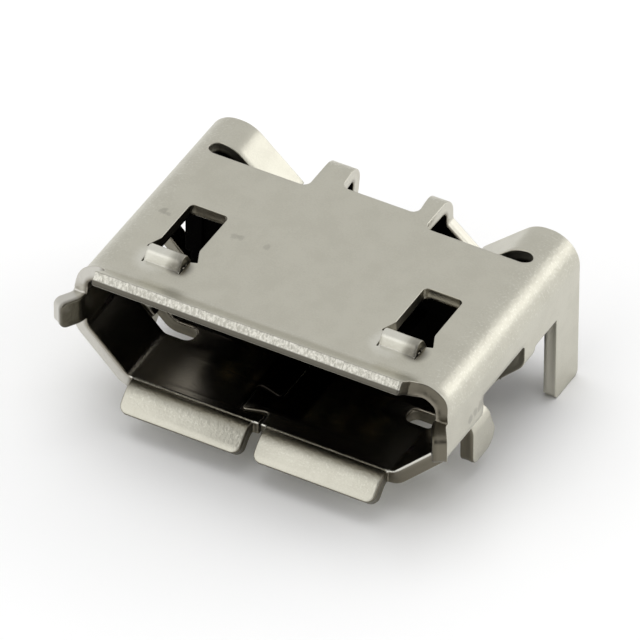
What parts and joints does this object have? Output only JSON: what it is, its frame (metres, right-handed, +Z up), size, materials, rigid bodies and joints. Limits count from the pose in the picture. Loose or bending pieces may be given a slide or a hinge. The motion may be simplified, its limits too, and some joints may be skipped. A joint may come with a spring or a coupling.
{
  "type": "micro usb socket",
  "caption": "Right-angle micro USB socket: folded metal shell with flared mouth, spring windows and board legs round a contact tongue.",
  "frame": {"origin": "on the underside of the shell's floor, on the centre line, in the middle of the floor seam's dovetail tab, 0.55 mm behind the mouth plane", "axes": "+X across the mouth to the right as seen from above with the mouth towards the viewer, +Y from the mouth to the back, +Z up from the board"},
  "size_m": [0.0078, 0.006, 0.0035],
  "materials": {
    "tin_plated_sheet": "dull tin plating",
    "black_moulding": "matt moulded black",
    "gilded_bronze": "smooth thin gilding"
  },
  "bodies": {
    "root": {"shell": "tin_plated_sheet", "insulator": "black_moulding", "contact_1": "gilded_bronze", "contact_2": "gilded_bronze", "contact_3": "gilded_bronze", "contact_4": "gilded_bronze", "contact_5": "gilded_bronze"}
  },
  "joints": []
}
